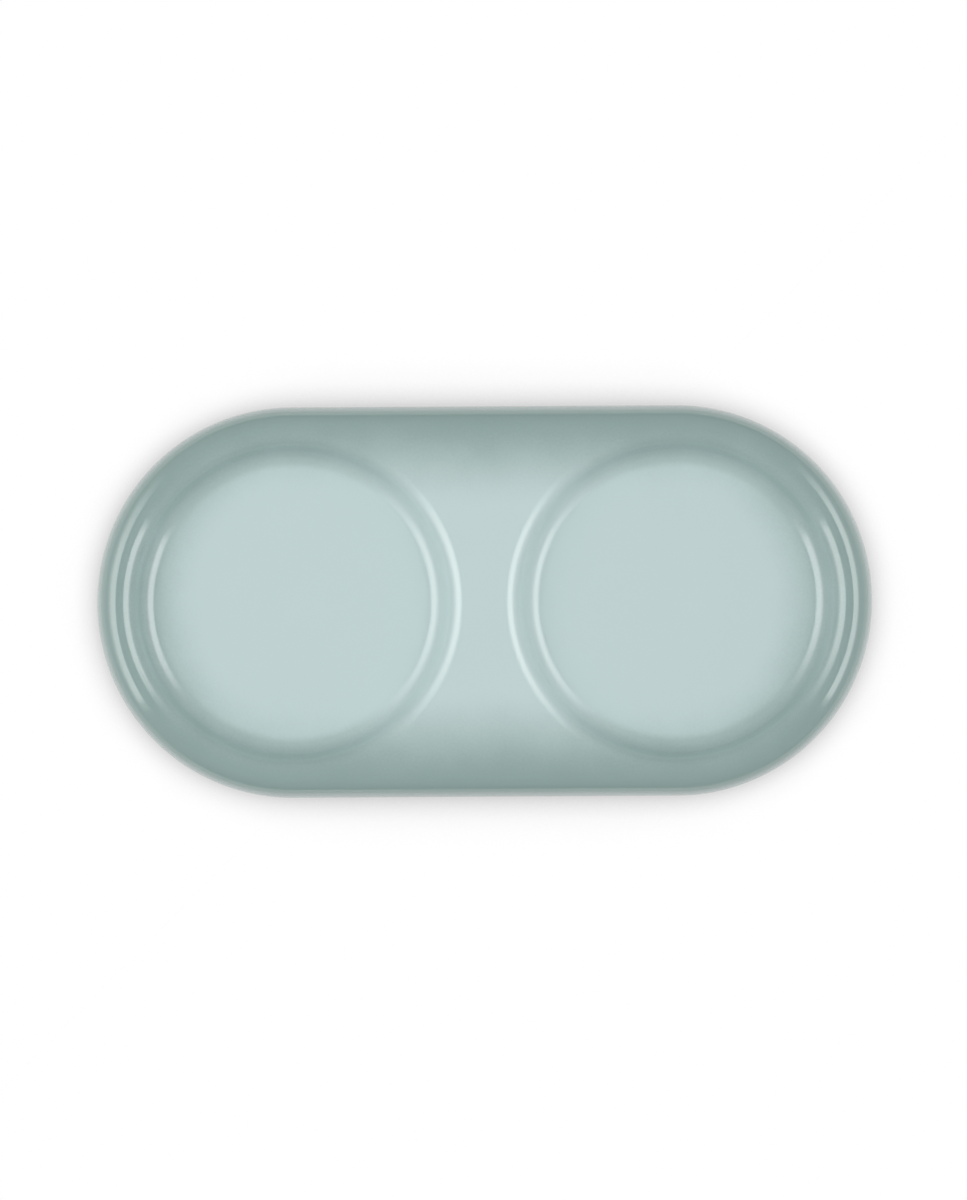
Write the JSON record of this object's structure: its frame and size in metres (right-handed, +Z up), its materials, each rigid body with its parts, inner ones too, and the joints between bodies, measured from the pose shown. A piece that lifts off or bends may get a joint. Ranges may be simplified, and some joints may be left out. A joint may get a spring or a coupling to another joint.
{
  "type": "pepper mill tray",
  "caption": "Racetrack-shaped glazed stoneware tray with shallow round wells that table mills stand in, rounded rims and a bare foot ring underneath.",
  "frame": {"origin": "on the table, under the centre of the tray", "axes": "+X along the tray through both well centres, +Z up"},
  "size_m": [0.1986, 0.1002, 0.016],
  "materials": {
    "bare_stoneware": "matt fired clay",
    "shaded_glaze": "gloss glaze, sea green, darker towards the outline",
    "plain_glaze": "gloss glaze, pale sea green"
  },
  "bodies": {
    "root": {"stoneware_body": "bare_stoneware", "colour_glaze": "shaded_glaze", "base_glaze": "plain_glaze"}
  },
  "joints": []
}
